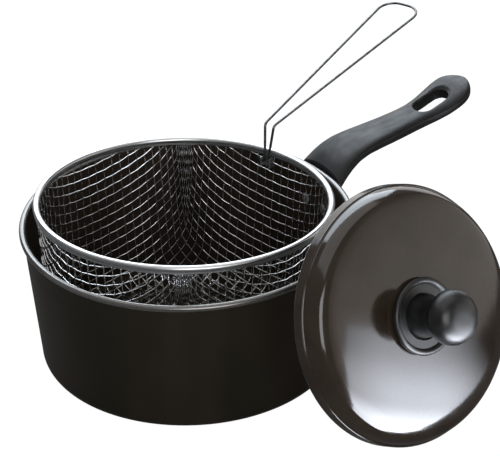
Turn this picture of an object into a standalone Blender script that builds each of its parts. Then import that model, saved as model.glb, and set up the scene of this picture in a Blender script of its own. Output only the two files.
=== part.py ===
"""Deep fry pot with its wire basket and its lid.

Metres, +Z up. The origin is the centre of the pot's base and the pot's grip points along +X.
The basket stands in the pot, its wire handle stands out over the rim, and the lid stands on its edge beside the pot.
"""
import math

import bmesh
import bpy
from mathutils import Matrix, Vector

# General
GAP = 0.0003
MERGE = 0.00001
ROUND_STEPS = 48
SMALL_STEPS = 24
SHARP_ANGLE = math.radians(38)

# Pot: a pressed aluminium shell with a flared collar and a rolled rim bead
POT_RIM_RADIUS = 0.110
POT_HEIGHT = 0.0997
POT_NECK_RADIUS = 0.1062
POT_NECK_HEIGHT = 0.081
POT_BASE_RADIUS = 0.0995
POT_BASE_CORNER = 0.009
POT_WALL = 0.0022
POT_FLOOR = 0.003
POT_BEAD_RADIUS = 0.0022

# The pot's widest, from which the grip's and the bracket's places count, and its narrowest above the floor, through
# which the basket is lifted
POT_REACH = max(POT_RIM_RADIUS, POT_NECK_RADIUS)
POT_MOUTH = min(POT_RIM_RADIUS - 2 * POT_BEAD_RADIUS, POT_NECK_RADIUS - POT_WALL)

# Basket: a pressed net under a rim band, standing in the pot with its heights counted from the band's middle.
# Its clearances are those of the band, the net's waist and the net's foot from the pot's inside.
BAND_CLEARANCE = 0.0077
NET_WAIST_CLEARANCE = 0.0100
NET_FOOT_CLEARANCE = 0.0075
BAND_RADIUS = POT_MOUTH - BAND_CLEARANCE
BAND_SECTION_RADIUS = 0.0022
BAND_SHEET = 0.0007
BAND_DEPTH = 0.0052
BAND_LIP_OPENING = 0.0018
CORE_WIRE_RADIUS = 0.0012
BASKET_DEPTH = 0.1038
NET_PITCH = 0.018
NET_THICKNESS = 0.001
NET_TOP_INSET = 0.0007
NET_TOP_RADIUS = BAND_RADIUS - NET_TOP_INSET
NET_WAIST_RADIUS = POT_MOUTH - NET_WAIST_CLEARANCE
NET_FOOT_RADIUS = min(POT_MOUTH, POT_BASE_RADIUS - POT_WALL) - NET_FOOT_CLEARANCE
NET_CORNER = 0.012
NET_TURN = math.radians(11)

# The basket stands a little askew in the pot: how far it tips, which way, and where its band's middle lies
BASKET_TILT = math.radians(4.1)
BASKET_TILT_AZIMUTH = math.radians(38.9)
BASKET_PLACE_X = -0.00135
BASKET_PLACE_Y = 0.00086

# Basket's wire handle and its clip under the rim band
BASKET_HANDLE_AZIMUTH = math.radians(19.2)
HANDLE_WIRE_RADIUS = 0.0009
HINGE_INSET = 0.0043
HINGE_RADIUS = BAND_RADIUS - HINGE_INSET
HINGE_DROP = 0.0066
LEG_SPACING = 0.0038
BEND_SPACING = 0.0072
BEND_INSET = 0.0008
BEND_RADIUS_OUT = BAND_RADIUS - BEND_INSET
BEND_RISE = 0.0198
LOOP_REACH = 0.1627
LOOP_TIP_RADIUS = BAND_RADIUS + LOOP_REACH
LOOP_TIP_RISE = 0.0524
LOOP_WIDTH = 0.0310
LOOP_CORNER = 0.0115
CLIP_WIDTH = 0.0076
CLIP_SHEET = 0.0006
CLIP_HEIGHT = 0.0065
CLIP_DEPTH = 0.0048

# Pot's grip: one phenolic moulding on a steel bracket
GRIP_LENGTH = 0.120
GRIP_ROOT_HEIGHT = 0.097
GRIP_RISE = 0.0351
GRIP_THICKNESS = 0.011
GRIP_ROOT_WIDTH = 0.0437
GRIP_SLOT_LENGTH = 0.027
GRIP_SLOT_WIDTH = 0.0145
GRIP_SLOT_DISTANCE = 0.0915
GRIP_SLOT_POSITION = POT_REACH + GRIP_SLOT_DISTANCE
BRACKET_SHEET = 0.0020
BRACKET_TONGUE_WIDTH = 0.013
BRACKET_KNEE_DISTANCE = 0.0008
BRACKET_KNEE_X = POT_REACH + BRACKET_KNEE_DISTANCE
BRACKET_KNEE_HEIGHT = 0.0918
BRACKET_PLATE_ANGLE = math.radians(20)
BRACKET_PLATE_FOOT = 0.067
BRACKET_PLATE_TOP = 0.090
RIVET_SHANK_RADIUS = 0.0020
RIVET_HEAD_RADIUS = 0.0040
RIVET_HEAD_HEIGHT = 0.0014
RIVET_EDGE_DISTANCE = 0.0085
RIVET_HEIGHT = BRACKET_PLATE_FOOT + RIVET_EDGE_DISTANCE
RIVET_SPREAD = math.radians(5.6)
GRIP_SCREW_DISTANCE = 0.038
GRIP_SCREW_POSITION = POT_REACH + GRIP_SCREW_DISTANCE
GRIP_SCREW_RADIUS = 0.0015
GRIP_SCREW_END = 0.0035
GRIP_SCREW_HEAD_RADIUS = 0.0032
GRIP_SCREW_HEAD_HEIGHT = 0.0014
GRIP_WASHER_RADIUS = 0.0036
GRIP_WASHER_SHEET = 0.0005

# Along the grip, as shares: length from the collar, rise of the top, thickness, width
GRIP_SHARES = (
    (-0.050, 0.000, 1.00, 1.00),
    (0.000, 0.157, 1.00, 0.95),
    (0.050, 0.302, 0.98, 0.89),
    (0.100, 0.407, 0.93, 0.84),
    (0.158, 0.484, 0.85, 0.78),
    (0.233, 0.530, 0.82, 0.71),
    (0.333, 0.558, 0.84, 0.66),
    (0.450, 0.590, 0.87, 0.62),
    (0.567, 0.632, 0.90, 0.58),
    (0.650, 0.670, 0.90, 0.58),
    (0.725, 0.721, 0.89, 0.65),
    (0.800, 0.798, 0.89, 0.73),
    (0.867, 0.886, 0.89, 0.76),
    (0.917, 0.952, 0.86, 0.72),
    (0.958, 0.986, 0.78, 0.59),
    (0.983, 0.997, 0.65, 0.41),
    (1.000, 1.000, 0.47, 0.18),
)

# Lid: a pressed shell with its knob, as large as the photograph shows it beside the pot
LID_RADIUS = 0.0832
LID_DEPTH = 0.0245
LID_SKIRT = 0.008
LID_SHEET = 0.0012
KNOB_DISC_RADIUS = 0.0248
KNOB_DISC_HEIGHT = 0.0042
KNOB_RADIUS = 0.0178
KNOB_HEIGHT = 0.041
KNOB_NECK_RADIUS = 0.0148
INSERT_RADIUS = 0.0035
INSERT_LENGTH = 0.018
KNOB_SCREW_RADIUS = 0.0020
KNOB_SCREW_HEAD_RADIUS = 0.0045
KNOB_SCREW_HEAD_HEIGHT = 0.0022
KNOB_SCREW_REACH = 0.012
KNOB_WASHER_RADIUS = 0.0065
KNOB_WASHER_SHEET = 0.0008

# Where the lid stands: the azimuth that its top faces, how far it leans back, and the distance of its rim's foot
LID_AZIMUTH = math.radians(-82.6)
LID_LEAN = math.radians(22.6)
LID_STAND_DISTANCE = 0.1858
LID_STAND_OFFSET = 0.0407


def new_collection(name):
    """Add a collection to the scene."""
    collection = bpy.data.collections.new(name)
    bpy.context.scene.collection.children.link(collection)
    return collection


def material(name, colour, roughness, metallic):
    """Make a Principled material."""
    mat = bpy.data.materials.new(name)
    mat.use_nodes = True
    shader = mat.node_tree.nodes["Principled BSDF"]
    shader.inputs["Base Color"].default_value = (*colour, 1.0)
    shader.inputs["Roughness"].default_value = roughness
    shader.inputs["Metallic"].default_value = metallic
    return mat


def add_object(name, mesh, mat=None, parent=None):
    """Put a mesh in the part's collection, smooth with sharp edges, and hang it on its parent."""
    obj = bpy.data.objects.new(name, mesh)
    if mat:
        mesh.materials.append(mat)
        PARTS.objects.link(obj)
    else:
        CUTTERS.objects.link(obj)
        obj.hide_render = True
        obj.display_type = "WIRE"
    obj.parent = parent
    mesh.shade_smooth()
    mesh.set_sharp_from_angle(angle=SHARP_ANGLE)
    return obj


def arc(centre, radius, start, end, steps):
    """Points on a circular arc from one angle to another, in degrees from the first axis."""
    points = []
    for i in range(steps + 1):
        angle = math.radians(start + (end - start) * i / steps)
        points.append((centre[0] + radius * math.cos(angle), centre[1] + radius * math.sin(angle)))
    return points


def smooth(points, steps):
    """A Catmull-Rom curve through the points, with the given steps in each span."""
    result = []
    for i in range(len(points) - 1):
        p0 = Vector(points[max(i - 1, 0)])
        p1 = Vector(points[i])
        p2 = Vector(points[i + 1])
        p3 = Vector(points[min(i + 2, len(points) - 1)])
        for k in range(steps):
            t = k / steps
            pull = (p2 - p0) * t + (p0 * 2 - p1 * 5 + p2 * 4 - p3) * t ** 2
            result.append(tuple(p1 + (pull + (p1 * 3 - p0 - p2 * 3 + p3) * t ** 3) / 2))
    result.append(tuple(points[-1]))
    return result


def rounded(points, radius, steps):
    """A path through the points with each inner corner replaced by an arc of the given radius."""
    result = [Vector(points[0])]
    for i in range(1, len(points) - 1):
        corner = Vector(points[i])
        back = (Vector(points[i - 1]) - corner).normalized()
        ahead = (Vector(points[i + 1]) - corner).normalized()
        half = back.angle(ahead) / 2
        centre = corner + (back + ahead).normalized() * radius / math.sin(half)
        reach = radius / math.tan(half)
        first = (corner + back * reach - centre).normalized()
        last = (corner + ahead * reach - centre).normalized()
        for k in range(steps + 1):
            result.append(centre + first.slerp(last, k / steps) * radius)
    result.append(Vector(points[-1]))
    return result


def turned(name, profile, mat=None, parent=None, closed=False, steps=ROUND_STEPS, angle=2 * math.pi):
    """A turned piece: a profile of radius and height, top to bottom down the outer side, spun about Z."""
    mesh = bpy.data.meshes.new(name)
    edges = [(i, i + 1) for i in range(len(profile) - 1)]
    if closed:
        edges.append((len(profile) - 1, 0))
    mesh.from_pydata([(r, 0.0, z) for r, z in profile], edges, [])
    obj = add_object(name, mesh, mat, parent)
    spin = obj.modifiers.new("Spin", "SCREW")
    spin.axis = "Z"
    spin.angle = angle
    spin.steps = steps
    spin.render_steps = steps
    spin.use_merge_vertices = True
    spin.merge_threshold = MERGE
    spin.use_smooth_shade = True
    return obj


def disc(name, radius, low, high, mat=None, parent=None, steps=SMALL_STEPS):
    """A plain cylinder about Z between two heights."""
    bm = bmesh.new()
    bmesh.ops.create_cone(bm, cap_ends=True, segments=steps, radius1=radius, radius2=radius, depth=high - low)
    bmesh.ops.translate(bm, verts=bm.verts, vec=(0.0, 0.0, (low + high) / 2))
    mesh = bpy.data.meshes.new(name)
    bm.to_mesh(mesh)
    bm.free()
    return add_object(name, mesh, mat, parent)


def mesh_of_curve(name, curve):
    """The closed mesh that a curve makes, with its caps welded on."""
    guide = bpy.data.objects.new(name + "_curve", curve)
    PARTS.objects.link(guide)
    mesh = bpy.data.meshes.new_from_object(guide.evaluated_get(bpy.context.evaluated_depsgraph_get()))
    bpy.data.objects.remove(guide)
    bm = bmesh.new()
    bm.from_mesh(mesh)
    bmesh.ops.remove_doubles(bm, verts=bm.verts, dist=MERGE)
    bmesh.ops.recalc_face_normals(bm, faces=bm.faces)
    bm.to_mesh(mesh)
    bm.free()
    mesh.name = name
    return mesh


def wire(name, points, radius, mat, parent):
    """A round wire along a path of points, made a mesh with its caps welded."""
    curve = bpy.data.curves.new(name, "CURVE")
    curve.dimensions = "3D"
    curve.bevel_depth = radius
    curve.bevel_resolution = 2
    curve.use_fill_caps = True
    spline = curve.splines.new("POLY")
    spline.points.add(len(points) - 1)
    for point, place in zip(spline.points, points):
        point.co = (*place, 1.0)
    return add_object(name, mesh_of_curve(name, curve), mat, parent)


def solidify(obj, thickness, offset):
    """Give an open surface its thickness."""
    shell = obj.modifiers.new("Thickness", "SOLIDIFY")
    shell.thickness = thickness
    shell.offset = offset
    shell.use_even_offset = True
    return obj


def combine(obj, other, operation="DIFFERENCE"):
    """Cut another object out of this one, or join it on."""
    boolean = obj.modifiers.new(operation.title(), "BOOLEAN")
    boolean.operation = operation
    boolean.object = other
    boolean.solver = "EXACT"


def pot_outer_radius(z):
    """Outer radius of the pot's wall: a slight taper up to the neck, then the collar's flare."""
    if z <= POT_NECK_HEIGHT:
        share = (z - POT_BASE_CORNER) / (POT_NECK_HEIGHT - POT_BASE_CORNER)
        return POT_BASE_RADIUS + (POT_NECK_RADIUS - POT_BASE_RADIUS) * share
    share = (z - POT_NECK_HEIGHT) / (POT_HEIGHT - POT_BEAD_RADIUS - POT_NECK_HEIGHT)
    flare_end = POT_RIM_RADIUS - POT_BEAD_RADIUS
    return POT_NECK_RADIUS + (flare_end - POT_NECK_RADIUS) * share ** 1.4


def make_pot():
    """The shell: inner floor, inner wall, rim bead, outer wall and base, as one closed profile."""
    bead = (POT_RIM_RADIUS - POT_BEAD_RADIUS, POT_HEIGHT - POT_BEAD_RADIUS)
    flare_share = (0.35, 0.7)
    heights = [POT_BASE_CORNER, POT_NECK_HEIGHT]
    for share in flare_share:
        heights.append(POT_NECK_HEIGHT + (bead[1] - POT_BEAD_RADIUS - POT_NECK_HEIGHT) * share)
    inner_corner = POT_BASE_CORNER - POT_WALL
    inner_centre = (POT_BASE_RADIUS - POT_BASE_CORNER, POT_FLOOR + inner_corner)
    profile = [(0.0, POT_FLOOR)]
    profile += arc(inner_centre, inner_corner, -90, 0, 4)
    profile += [(pot_outer_radius(z) - POT_WALL, z) for z in heights[1:]]
    profile += arc(bead, POT_BEAD_RADIUS, 180, -90, 9)
    profile += [(pot_outer_radius(z), z) for z in reversed(heights[1:])]
    profile += arc((POT_BASE_RADIUS - POT_BASE_CORNER, POT_BASE_CORNER), POT_BASE_CORNER, 0, -90, 5)
    profile.append((0.0, 0.0))
    return turned("pot_body", profile, ENAMEL)


def grip_section(x):
    """Height of the grip's top, its thickness and half its width at a point on its length."""
    share = (x - POT_REACH) / GRIP_LENGTH
    low, high = GRIP_SHARES[-2:]
    for low, high in zip(GRIP_SHARES, GRIP_SHARES[1:]):
        if share <= high[0]:
            break
    t = min((share - low[0]) / (high[0] - low[0]), 1.0)
    rise, thickness, width = (a * (1 - t) + b * t for a, b in zip(low[1:], high[1:]))
    return GRIP_ROOT_HEIGHT + GRIP_RISE * rise, GRIP_THICKNESS * thickness, GRIP_ROOT_WIDTH / 2 * width


def grip_middle(x):
    """Height of the grip's middle above a point on its length."""
    top, thickness, half_width = grip_section(x)
    return top - thickness / 2


def grip_slope(x):
    """The grip's slope in the plane of its length, as an angle."""
    step = GRIP_LENGTH / 20
    return math.atan2(grip_middle(x + step) - grip_middle(x - step), 2 * step)


def make_grip(collar_cutter, bracket_pocket):
    """The grip: rounded sections lofted along its length, hollowed for the bracket and pierced to hang it up."""
    bm = bmesh.new()
    around = 20
    side_roundness = 0.55
    face_roundness = 0.65
    rings = []
    for share, *others in GRIP_SHARES:
        x = POT_REACH + GRIP_LENGTH * share
        top, thickness, half_width = grip_section(x)
        ring = []
        for i in range(around):
            angle = 2 * math.pi * i / around
            across = math.copysign(abs(math.cos(angle)) ** side_roundness, math.cos(angle))
            up = math.copysign(abs(math.sin(angle)) ** face_roundness, math.sin(angle))
            ring.append(bm.verts.new((x, half_width * across, top + thickness / 2 * (up - 1))))
        rings.append(ring)
    for low, high in zip(rings, rings[1:]):
        for i in range(around):
            k = (i + 1) % around
            bm.faces.new((low[i], low[k], high[k], high[i]))
    bm.faces.new(rings[0][::-1])
    bm.faces.new(rings[-1])
    bmesh.ops.recalc_face_normals(bm, faces=bm.faces)
    mesh = bpy.data.meshes.new("handle_grip")
    bm.to_mesh(mesh)
    bm.free()
    grip = add_object("handle_grip", mesh, PHENOLIC)
    combine(grip, collar_cutter)
    combine(grip, bracket_pocket)
    combine(grip, make_slot_cutter())
    bore = make_screw_place("grip_screw_bore", GRIP_SCREW_RADIUS + GAP, -GRIP_LENGTH, GRIP_SCREW_END + GAP)
    combine(grip, bore)
    recess_depth = GRIP_SCREW_HEAD_HEIGHT + GRIP_WASHER_SHEET + 3 * GAP
    seat = recess_depth - grip_section(GRIP_SCREW_POSITION)[1] / 2
    recess = make_screw_place("grip_screw_recess", GRIP_WASHER_RADIUS + GAP, -GRIP_LENGTH, seat)
    combine(grip, recess)
    washer_hole = GRIP_SCREW_RADIUS + GAP
    washer_top = seat - GAP
    washer = turned("handle_washer", [
        (washer_hole, washer_top),
        (GRIP_WASHER_RADIUS, washer_top),
        (GRIP_WASHER_RADIUS, washer_top - GRIP_WASHER_SHEET),
        (washer_hole, washer_top - GRIP_WASHER_SHEET),
    ], STEEL, closed=True, steps=SMALL_STEPS)
    head_top = washer_top - GRIP_WASHER_SHEET - GAP
    screw = turned("handle_screw", [
        (0.0, GRIP_SCREW_END),
        (GRIP_SCREW_RADIUS, GRIP_SCREW_END),
        (GRIP_SCREW_RADIUS, head_top),
        (GRIP_SCREW_HEAD_RADIUS, head_top),
        (GRIP_SCREW_HEAD_RADIUS * 0.85, head_top - GRIP_SCREW_HEAD_HEIGHT),
        (0.0, head_top - GRIP_SCREW_HEAD_HEIGHT),
    ], STEEL, steps=SMALL_STEPS)
    for piece in (washer, screw):
        piece.matrix_basis = screw_pose()


def screw_pose():
    """The frame of the grip's screw: square to the grip's middle."""
    x = GRIP_SCREW_POSITION
    return Matrix.Translation((x, 0.0, grip_middle(x))) @ Matrix.Rotation(-grip_slope(x), 4, "Y")


def make_screw_place(name, radius, low, high):
    """A cutter for the grip's screw, in the screw's frame."""
    cutter = disc(name, radius, low, high)
    cutter.matrix_basis = screw_pose()
    return cutter


def make_slot_cutter():
    """The hanging slot's outline, a stadium, drawn flat and given depth."""
    radius = GRIP_SLOT_WIDTH / 2
    run = GRIP_SLOT_LENGTH / 2 - radius
    outline = arc((run, 0.0), radius, -90, 90, 8) + arc((-run, 0.0), radius, 90, 270, 8)
    bm = bmesh.new()
    face = bm.faces.new([bm.verts.new((x, y, -GRIP_LENGTH / 4)) for x, y in outline])
    sides = bmesh.ops.extrude_face_region(bm, geom=[face])
    raised = [v for v in sides["geom"] if isinstance(v, bmesh.types.BMVert)]
    bmesh.ops.translate(bm, verts=raised, vec=(0.0, 0.0, GRIP_LENGTH / 2))
    bmesh.ops.recalc_face_normals(bm, faces=bm.faces)
    mesh = bpy.data.meshes.new("hanging_slot_cutter")
    bm.to_mesh(mesh)
    bm.free()
    cutter = add_object("hanging_slot_cutter", mesh)
    x = GRIP_SLOT_POSITION
    cutter.matrix_basis = Matrix.Translation((x, 0.0, grip_middle(x))) @ Matrix.Rotation(-grip_slope(x), 4, "Y")
    return cutter


def tongue_path(extra):
    """The tongue's middle line in the grip's plane, from the plate up and along the grip."""
    plate_middle = GAP + BRACKET_SHEET / 2
    foot = BRACKET_PLATE_TOP - 2 * BRACKET_SHEET
    start = (pot_outer_radius(foot) + plate_middle, foot)
    path = [start, (BRACKET_KNEE_X, BRACKET_KNEE_HEIGHT)]
    for share in (0.045, 0.085, 0.15, 0.25):
        x = POT_REACH + GRIP_LENGTH * share
        path.append((x, grip_middle(x)))
    end = GRIP_SCREW_POSITION + BRACKET_TONGUE_WIDTH + extra
    path.append((end, grip_middle(end)))
    return path


def make_tongue(name, extra, mat=None):
    """A strip along the tongue's line, with its thickness; the extra is the pocket's clearance all round."""
    path = tongue_path(extra)
    half = BRACKET_TONGUE_WIDTH / 2 + extra
    bm = bmesh.new()
    left = [bm.verts.new((x, half, z)) for x, z in path]
    right = [bm.verts.new((x, -half, z)) for x, z in path]
    for i in range(len(path) - 1):
        bm.faces.new((left[i], right[i], right[i + 1], left[i + 1]))
    mesh = bpy.data.meshes.new(name)
    bm.to_mesh(mesh)
    bm.free()
    return solidify(add_object(name, mesh, mat), BRACKET_SHEET + 2 * extra, 0.0)


def make_bracket(pot):
    """The bracket: a plate that follows the pot's wall, with a tongue, held by two rivets."""
    rows = 4
    heights = [BRACKET_PLATE_TOP + (BRACKET_PLATE_FOOT - BRACKET_PLATE_TOP) * i / rows for i in range(rows + 1)]
    profile = [(pot_outer_radius(z) + GAP, z) for z in heights]
    plate = turned("handle_bracket", profile, STEEL, steps=6, angle=BRACKET_PLATE_ANGLE)
    plate.rotation_euler = (0.0, 0.0, -BRACKET_PLATE_ANGLE / 2)
    solidify(plate, BRACKET_SHEET, 1.0)
    combine(plate, make_tongue("bracket_tongue", 0.0), "UNION")
    screw_hole = make_screw_place("tongue_screw_hole", GRIP_SCREW_RADIUS + GAP, -BRACKET_SHEET * 2, BRACKET_SHEET * 2)
    combine(plate, screw_hole)
    taper = math.atan2(POT_NECK_RADIUS - POT_BASE_RADIUS, POT_NECK_HEIGHT - POT_BASE_CORNER)
    for side, turn in (("left", RIVET_SPREAD), ("right", -RIVET_SPREAD)):
        place = Matrix.Rotation(turn, 4, "Z") @ Matrix.Translation((pot_outer_radius(RIVET_HEIGHT), 0.0, RIVET_HEIGHT))
        place = place @ Matrix.Rotation(math.radians(90) + taper, 4, "Y")
        hole = disc("rivet_hole_" + side, RIVET_SHANK_RADIUS + GAP, -POT_WALL * 3, POT_WALL * 3)
        hole.matrix_basis = place
        combine(pot, hole)
        combine(plate, hole)
        outer = GAP * 3 + BRACKET_SHEET
        inner = -POT_WALL - 2 * GAP
        rivet = turned("bracket_rivet_" + side, [
            (0.0, outer + RIVET_HEAD_HEIGHT),
            (RIVET_HEAD_RADIUS * 0.6, outer + RIVET_HEAD_HEIGHT * 0.85),
            (RIVET_HEAD_RADIUS, outer + RIVET_HEAD_HEIGHT * 0.2),
            (RIVET_HEAD_RADIUS, outer),
            (RIVET_SHANK_RADIUS, outer),
            (RIVET_SHANK_RADIUS, inner),
            (RIVET_HEAD_RADIUS * 0.9, inner),
            (RIVET_HEAD_RADIUS * 0.9, inner - RIVET_HEAD_HEIGHT * 0.3),
            (RIVET_HEAD_RADIUS * 0.5, inner - RIVET_HEAD_HEIGHT * 0.8),
            (0.0, inner - RIVET_HEAD_HEIGHT * 0.9),
        ], STEEL, steps=SMALL_STEPS)
        rivet.matrix_basis = place


def band_height():
    """Height of the band's middle over the pot's base, with the tipped net's foot edge on the pot's floor."""
    foot = NET_FOOT_RADIUS - NET_CORNER
    drop = BASKET_DEPTH * math.cos(BASKET_TILT) + foot * math.sin(BASKET_TILT)
    drop += NET_CORNER * (1 - math.cos(BASKET_TILT)) + NET_THICKNESS / 2
    return POT_FLOOR + GAP + drop


def net_profile():
    """The pressed net's section: floor edge, corner, wall up to the waist, and on up into the band."""
    corner = (NET_FOOT_RADIUS - NET_CORNER, NET_CORNER - BASKET_DEPTH)
    points = [(0.0, -BASKET_DEPTH)]
    points += arc(corner, NET_CORNER, -90, 0, 8)
    points.append((NET_WAIST_RADIUS, POT_NECK_HEIGHT - band_height()))
    band_foot = BAND_SECTION_RADIUS - BAND_DEPTH
    points.append((NET_TOP_RADIUS, band_foot - NET_CORNER / 2))
    points.append((BAND_RADIUS, band_foot))
    points.append((BAND_RADIUS, BAND_SECTION_RADIUS))
    return points


def stand_basket():
    """An empty in the middle of the band, tipped so that the net's foot edge stands on the pot's floor."""
    stand = bpy.data.objects.new("basket_stand", None)
    PARTS.objects.link(stand)
    place = Vector((BASKET_PLACE_X, BASKET_PLACE_Y, band_height()))
    across = Vector((-math.sin(BASKET_TILT_AZIMUTH), math.cos(BASKET_TILT_AZIMUTH), 0.0))
    stand.matrix_basis = Matrix.Translation(place) @ Matrix.Rotation(BASKET_TILT, 4, across)
    return stand


def place_on_net(x, y, profile):
    """Where a point of the flat sheet goes when the sheet is pressed: it keeps its angle and its distance."""
    distance = math.hypot(x, y)
    left = distance
    for (r0, z0), (r1, z1) in zip(profile, profile[1:]):
        length = math.hypot(r1 - r0, z1 - z0)
        if left <= length:
            break
        left -= length
    share = left / length
    radius = r0 + (r1 - r0) * share
    height = z0 + (z1 - z0) * share
    if distance == 0:
        return (0.0, 0.0, height)
    return (radius * x / distance, radius * y / distance, height)


def make_net(stand):
    """The net: a flat square grid pressed to the basket's shape, trimmed under the band and turned to wires."""
    profile = net_profile()
    developed = sum(math.dist(a, b) for a, b in zip(profile, profile[1:]))
    count = math.ceil(developed / NET_PITCH)
    bm = bmesh.new()
    corners = {}
    for i in range(-count, count + 1):
        for j in range(-count, count + 1):
            corners[i, j] = bm.verts.new((i * NET_PITCH, j * NET_PITCH, 0.0))
    for i in range(-count, count):
        for j in range(-count, count):
            bm.faces.new((corners[i, j], corners[i + 1, j], corners[i + 1, j + 1], corners[i, j + 1]))
    outside = [v for v in bm.verts if math.hypot(v.co.x, v.co.y) > developed + NET_PITCH]
    bmesh.ops.delete(bm, geom=outside, context="VERTS")
    turn = Matrix.Rotation(NET_TURN, 4, "Z")
    for vert in bm.verts:
        distance = min(math.hypot(vert.co.x, vert.co.y), developed - GAP)
        flat = vert.co.normalized() * distance
        vert.co = turn @ Vector(place_on_net(flat.x, flat.y, profile))
    trim = -CORE_WIRE_RADIUS - GAP - NET_THICKNESS / 2
    everything = list(bm.verts) + list(bm.edges) + list(bm.faces)
    bmesh.ops.bisect_plane(bm, geom=everything, plane_co=(0.0, 0.0, trim), plane_no=(0.0, 0.0, 1.0), clear_outer=True)
    short = [e for e in bm.edges if e.calc_length() < NET_THICKNESS * 2]
    bmesh.ops.collapse(bm, edges=short)
    bmesh.ops.recalc_face_normals(bm, faces=bm.faces)
    mesh = bpy.data.meshes.new("basket_net")
    bm.to_mesh(mesh)
    bm.free()
    net = add_object("basket_net", mesh, WIRE_STEEL, stand)
    weave = net.modifiers.new("Wires", "WIREFRAME")
    weave.thickness = NET_THICKNESS
    weave.offset = 0.0
    weave.use_replace = True
    weave.use_boundary = True
    weave.use_even_offset = True
    return net


def make_band(stand):
    """The rim band: a rounded sheet folded over the net's edge and a core wire, its lips pinched together."""
    centre = (BAND_RADIUS, 0.0)
    foot = BAND_SECTION_RADIUS - BAND_DEPTH
    inner = BAND_SECTION_RADIUS - BAND_SHEET
    half_lip = BAND_LIP_OPENING / 2
    profile = [(BAND_RADIUS - half_lip, foot)]
    profile += arc(centre, inner, 215, -35, 6)
    profile.append((BAND_RADIUS + half_lip, foot))
    profile.append((BAND_RADIUS + half_lip + BAND_SHEET, foot))
    profile += arc(centre, BAND_SECTION_RADIUS, -25, 205, 6)
    profile.append((BAND_RADIUS - half_lip - BAND_SHEET, foot))
    profile.reverse()
    turned("basket_rim_band", profile, BAND_METAL, stand, closed=True)
    turned("basket_core_wire", arc(centre, CORE_WIRE_RADIUS, 90, -210, 5), WIRE_STEEL, stand, closed=True)


def make_basket_handle(stand):
    """The wire handle: two legs in the clip, a bend over the rim and a long loop, standing out over the pot's rim."""
    leg = LEG_SPACING / 2
    tip_reach = CLIP_WIDTH / 2 + CLIP_SHEET * 2
    rest = BAND_RADIUS - BAND_SECTION_RADIUS - GAP - HANDLE_WIRE_RADIUS
    side = [
        (HINGE_RADIUS, tip_reach, -HINGE_DROP),
        (HINGE_RADIUS, leg, -HINGE_DROP),
        (rest, leg, HANDLE_WIRE_RADIUS),
        (BEND_RADIUS_OUT, BEND_SPACING / 2, BEND_RISE),
        (LOOP_TIP_RADIUS, LOOP_WIDTH / 2, LOOP_TIP_RISE),
    ]
    corners = side + [(x, -y, z) for x, y, z in reversed(side)]
    path = [Vector(corners[0])]
    fillets = (HANDLE_WIRE_RADIUS * 1.25, HANDLE_WIRE_RADIUS * 6, HANDLE_WIRE_RADIUS * 4, LOOP_CORNER)
    radii = fillets + tuple(reversed(fillets))
    for i in range(1, len(corners) - 1):
        bent = rounded(corners[i - 1:i + 2], radii[i - 1], 5)
        path += bent[1:-1]
    path.append(Vector(corners[-1]))
    hinge = Vector((HINGE_RADIUS, 0.0, -HINGE_DROP))
    handle = wire("basket_handle", [p - hinge for p in path], HANDLE_WIRE_RADIUS, WIRE_STEEL, stand)
    handle.matrix_basis = Matrix.Rotation(BASKET_HANDLE_AZIMUTH, 4, "Z") @ Matrix.Translation(hinge)


def make_clip(stand):
    """The clip: a channel of bent sheet under the band, whose two ears hold the handle's tips."""
    back = BAND_RADIUS - BAND_LIP_OPENING / 2 - BAND_SHEET - GAP
    front = back - CLIP_DEPTH
    half = CLIP_WIDTH / 2
    inner = half - CLIP_SHEET
    outline = [(back, -half), (back, half), (front, half), (front, inner)]
    outline += [(back - CLIP_SHEET, inner), (back - CLIP_SHEET, -inner), (front, -inner), (front, -half)]
    curve = bpy.data.curves.new("handle_clip", "CURVE")
    curve.dimensions = "2D"
    curve.fill_mode = "BOTH"
    curve.extrude = CLIP_HEIGHT / 2
    spline = curve.splines.new("POLY")
    spline.points.add(len(outline) - 1)
    for point, (x, y) in zip(spline.points, outline):
        point.co = (x, y, 0.0, 1.0)
    spline.use_cyclic_u = True
    clip = add_object("handle_clip", mesh_of_curve("handle_clip", curve), CLIP_STEEL, stand)
    top = BAND_SECTION_RADIUS - BAND_DEPTH - GAP
    turn = Matrix.Rotation(BASKET_HANDLE_AZIMUTH, 4, "Z")
    clip.matrix_basis = turn @ Matrix.Translation((0.0, 0.0, top - CLIP_HEIGHT / 2))
    holes = disc("clip_holes", HANDLE_WIRE_RADIUS + GAP, -CLIP_WIDTH, CLIP_WIDTH, parent=stand)
    hinge = Matrix.Translation((HINGE_RADIUS, 0.0, -HINGE_DROP)) @ Matrix.Rotation(math.radians(90), 4, "X")
    holes.matrix_basis = turn @ hinge
    combine(clip, holes)


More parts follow.
